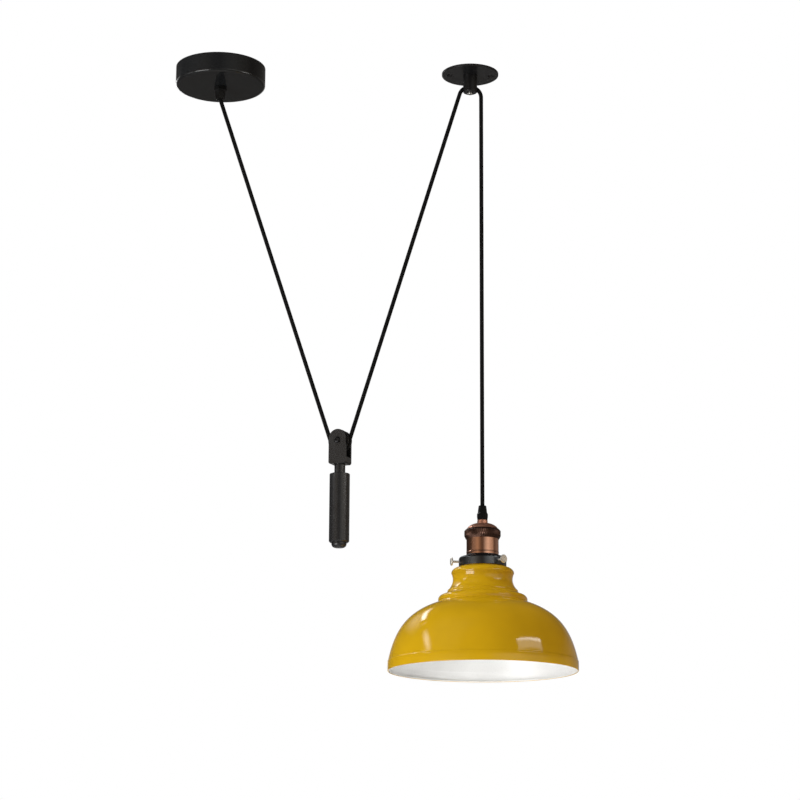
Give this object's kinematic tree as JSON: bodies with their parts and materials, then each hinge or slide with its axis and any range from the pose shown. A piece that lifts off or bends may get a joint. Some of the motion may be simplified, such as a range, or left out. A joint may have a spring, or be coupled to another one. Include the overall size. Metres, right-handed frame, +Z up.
{
  "type": "rise and fall pendant",
  "caption": "Ceiling pendant on a fabric cord that runs from a ceiling rose under a pulley counterweight and over a ceiling-plate boss to a domed metal shade",
  "frame": {"origin": "centre of the rose's ceiling face", "axes": "+Z up into the ceiling, +X from the rose to the ceiling plate and the lamp, +Y away from the viewer of the picture"},
  "size_m": [0.5513, 0.252, 0.8364],
  "materials": {
    "rose_enamel": "gloss black enamel on pressed steel",
    "plate_enamel": "satin black enamel on turned steel",
    "weight_paint": "satin black powder coat on turned and milled steel",
    "black_steel": "blackened steel fastener",
    "zinc_steel": "bright zinc-plated steel",
    "sheave_nylon": "turned black nylon",
    "bush_bronze": "oiled sintered bronze",
    "grip_plastic": "moulded black nylon",
    "block_plastic": "moulded natural polyamide",
    "brass": "bare brass",
    "cord_fabric": "braided black textile over the cable's sheath",
    "copper": "polished copper plate on spun brass",
    "dark_copper": "antiqued copper plate, knurled",
    "gunmetal": "gunmetal plate on pressed steel",
    "phenolic": "moulded black phenolic",
    "nickel_brass": "bright nickel plate on a brass screw",
    "shade_enamel": "gloss mustard enamel outside and white enamel inside, on spun aluminium"
  },
  "bodies": {
    "ceiling_parts": {"rose_cover": "rose_enamel", "rose_bracket": "zinc_steel", "rose_side_screws": "black_steel", "terminal_block": "block_plastic", "terminal_screws": "brass", "rose_cord_grip": "grip_plastic", "rose_grip_nut": "zinc_steel", "ceiling_plate": "plate_enamel", "plate_boss": "plate_enamel", "boss_fixing_screw": "zinc_steel", "cord_tail_in_rose": "cord_fabric", "cord_left_leg": "cord_fabric", "cord_right_leg": "cord_fabric", "cord_over_boss": "cord_fabric", "cord_lamp_drop": "cord_fabric"},
    "clamp_screw": {"cord_clamp_screw": "zinc_steel"},
    "counterweight": {"yoke": "weight_paint", "axle_bolt": "black_steel", "axle_nut": "black_steel", "axle_washers": "zinc_steel", "stem": "weight_paint", "weight_cylinder": "weight_paint", "weight_end_cap": "weight_paint", "cord_sheave_wrap": "cord_fabric"},
    "pulley": {"sheave": "sheave_nylon", "sheave_bush": "bush_bronze"},
    "lamp": {"lamp_cord_grip": "grip_plastic", "holder_cap": "copper", "knurled_ring": "dark_copper", "holder_body": "copper", "socket_insulator": "phenolic", "screw_shell": "brass", "centre_contact": "brass", "socket_terminal_screws": "brass", "shade_gallery": "gunmetal", "gallery_ring": "phenolic", "shade": "shade_enamel", "cord_tail_in_lamp": "cord_fabric"},
    "thumb_screw_1": {"thumb_screw_1": "nickel_brass"},
    "thumb_screw_2": {"thumb_screw_2": "nickel_brass"},
    "thumb_screw_3": {"thumb_screw_3": "nickel_brass"}
  },
  "joints": [
    {"name": "lamp_rise", "type": "slide", "parent": "ceiling_parts", "child": "lamp", "axis": [0, 0, 1], "range_m": [-0.3, 0.3], "deforming": ["cord_lamp_drop"]},
    {"name": "counterweight_travel", "type": "slide", "parent": "ceiling_parts", "child": "counterweight", "axis": [0, 0, 1], "range_m": [-0.1575, 0.1575], "deforming": ["cord_left_leg", "cord_right_leg"]},
    {"name": "sheave_spin", "type": "hinge", "parent": "counterweight", "child": "pulley", "pos_m": [0.172, 0, -0.529], "axis": [0.4384, 0.8988, 0], "range_deg": [-660.1, 660.1]},
    {"name": "clamp_screw_travel", "type": "slide", "parent": "ceiling_parts", "child": "clamp_screw", "axis": [0, 0, -1], "range_m": [0, 0.003]},
    {"name": "thumb_screw_1_travel", "type": "slide", "parent": "lamp", "child": "thumb_screw_1", "axis": [-0.9925, -0.1219, 0], "range_m": [0, 0.006]},
    {"name": "thumb_screw_2_travel", "type": "slide", "parent": "lamp", "child": "thumb_screw_2", "axis": [0.6018, -0.7986, 0], "range_m": [0, 0.006]},
    {"name": "thumb_screw_3_travel", "type": "slide", "parent": "lamp", "child": "thumb_screw_3", "axis": [0.3907, 0.9205, 0], "range_m": [0, 0.006]}
  ],
  "couplings": [
    {"joint": "counterweight_travel", "follows": "lamp_rise", "ratio": -0.525},
    {"joint": "sheave_spin", "follows": "lamp_rise", "rad_per_m": 38.4}
  ]
}
